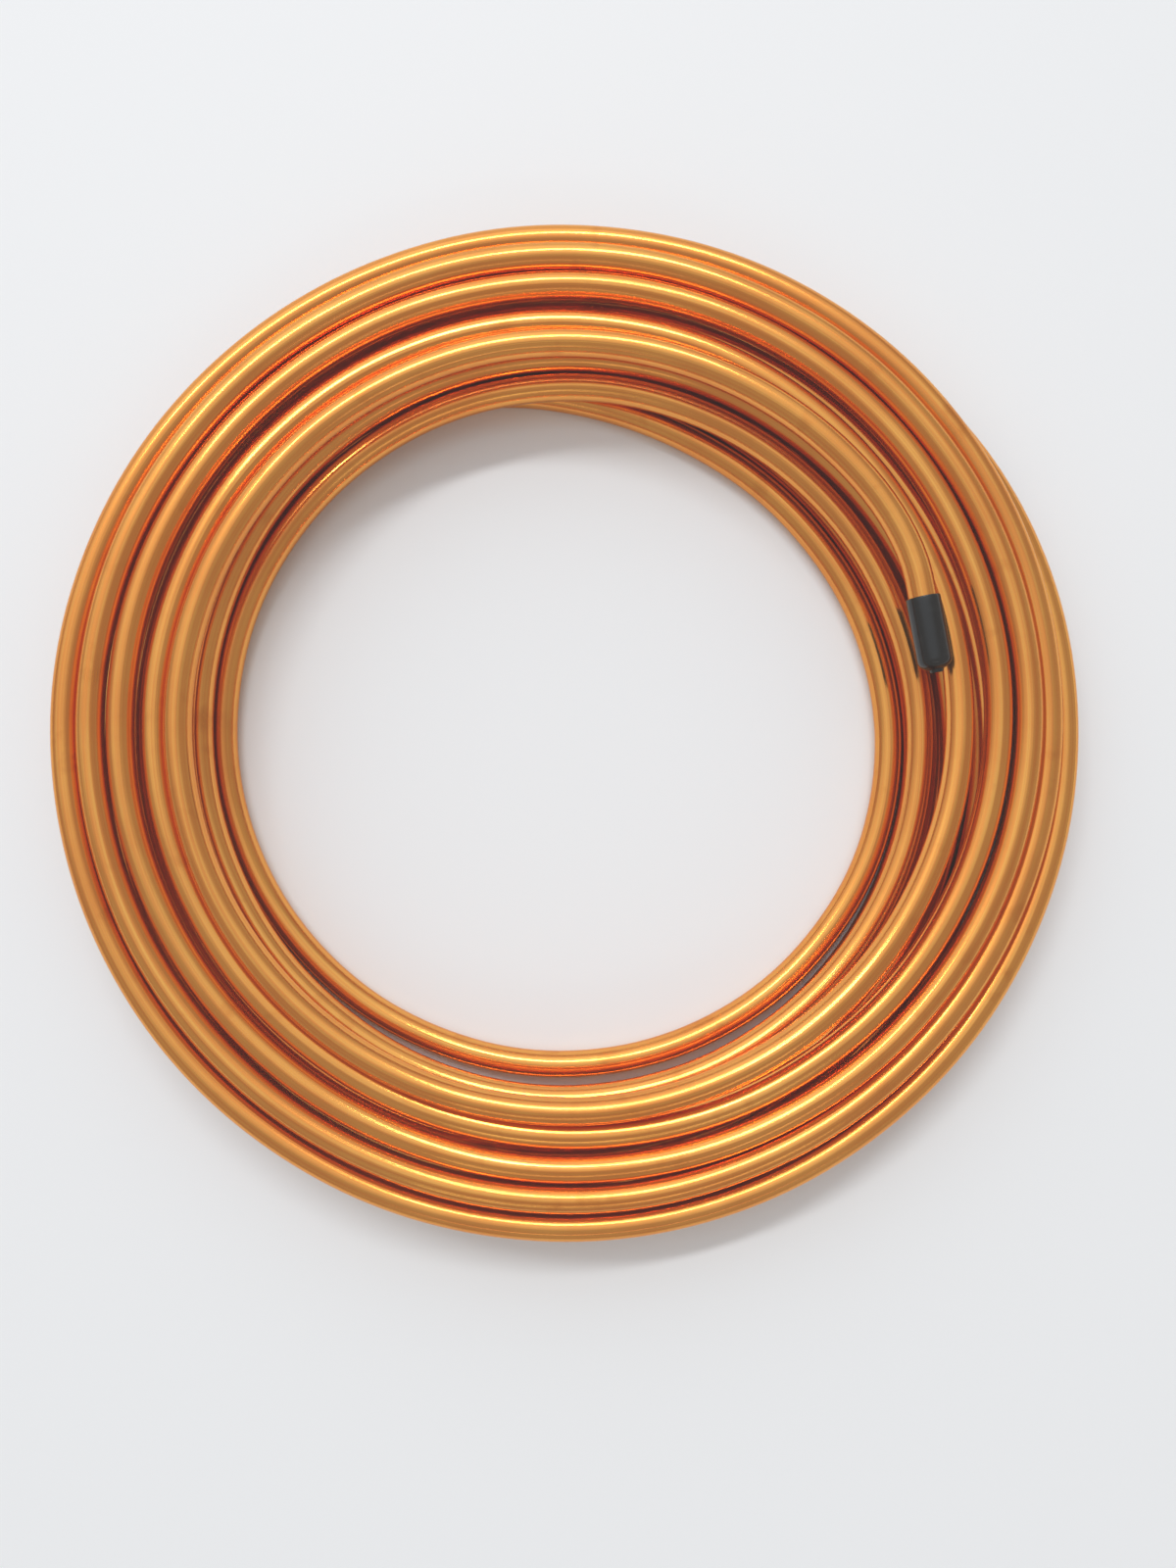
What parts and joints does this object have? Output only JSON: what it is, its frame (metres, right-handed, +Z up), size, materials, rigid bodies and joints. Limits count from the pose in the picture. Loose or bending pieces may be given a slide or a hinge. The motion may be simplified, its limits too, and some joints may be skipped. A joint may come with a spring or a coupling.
{
  "type": "copper tube coil",
  "caption": "Flat coil of bright soft-drawn copper tube, wound in stacked layers round an open middle, with black push-on end caps.",
  "frame": {"origin": "on the floor, under the middle of the coil", "axes": "+Z up, out of the open middle of the coil; the capped upper end lies on the +X side"},
  "size_m": [0.3569, 0.3565, 0.0414],
  "materials": {
    "copper": "bright drawn copper",
    "cap_vinyl": "satin dipped vinyl"
  },
  "bodies": {
    "root": {"copper_tube": "copper", "end_cap": "cap_vinyl", "far_end_cap": "cap_vinyl"}
  },
  "joints": []
}
